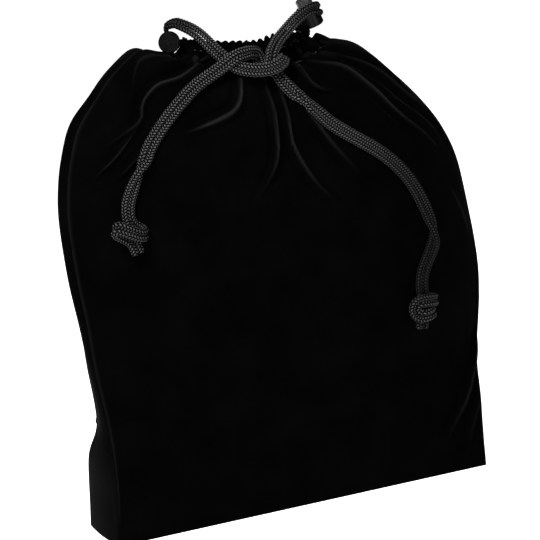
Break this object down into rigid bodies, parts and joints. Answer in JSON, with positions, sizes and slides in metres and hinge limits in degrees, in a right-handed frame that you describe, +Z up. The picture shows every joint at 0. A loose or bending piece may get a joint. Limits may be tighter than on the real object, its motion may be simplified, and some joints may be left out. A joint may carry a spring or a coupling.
{
  "type": "drawstring bag",
  "caption": "Standing black velvet drawstring bag with a box base, a cinched neck, and knotted braided cords that pass through spring cord locks.",
  "frame": {"origin": "middle of the bag's width and depth, on the plane that the base stands on", "axes": "+X towards the bag's right as its front is seen, +Y towards the back, +Z up; the front faces -Y"},
  "size_m": [0.2559, 0.0823, 0.2952],
  "materials": {
    "velvet": "black cut-pile velvet",
    "tape": "woven black tape",
    "cord": "braided, slightly shiny",
    "lock_shell": "moulded, satin",
    "plunger": "moulded, shiny",
    "spring": "drawn wire"
  },
  "bodies": {
    "root": {"front_panel": "velvet", "back_panel": "velvet", "left_gusset": "velvet", "right_gusset": "velvet", "base_panel": "velvet", "front_casing": "tape", "back_casing": "tape", "left_drawstring_loop": "cord", "right_drawstring_loop": "cord", "left_run_a": "cord", "left_run_b": "cord", "right_run_a": "cord", "right_run_b": "cord", "left_tail_a": "cord", "left_tail_b": "cord", "right_tail_a": "cord", "right_tail_b": "cord", "centre_knot": "cord", "left_end_knot": "cord", "right_end_knot": "cord", "left_lock_body": "lock_shell", "left_lock_spring": "spring", "right_lock_body": "lock_shell", "right_lock_spring": "spring"},
    "left_plunger": {"left_lock_plunger": "plunger"},
    "right_plunger": {"right_lock_plunger": "plunger"}
  },
  "joints": [
    {"name": "left_plunger_press", "type": "slide", "parent": "root", "child": "left_plunger", "axis": [-0.3595, -0.9288, 0.0899], "range_m": [0, 0.0013], "stiffness_N_per_m": 800, "springref_m": -0.002, "deforming": ["left_lock_spring"]},
    {"name": "right_plunger_press", "type": "slide", "parent": "root", "child": "right_plunger", "axis": [0.31, -0.07, -0.9482], "range_m": [0, 0.0013], "stiffness_N_per_m": 800, "springref_m": -0.002, "deforming": ["right_lock_spring"]}
  ]
}
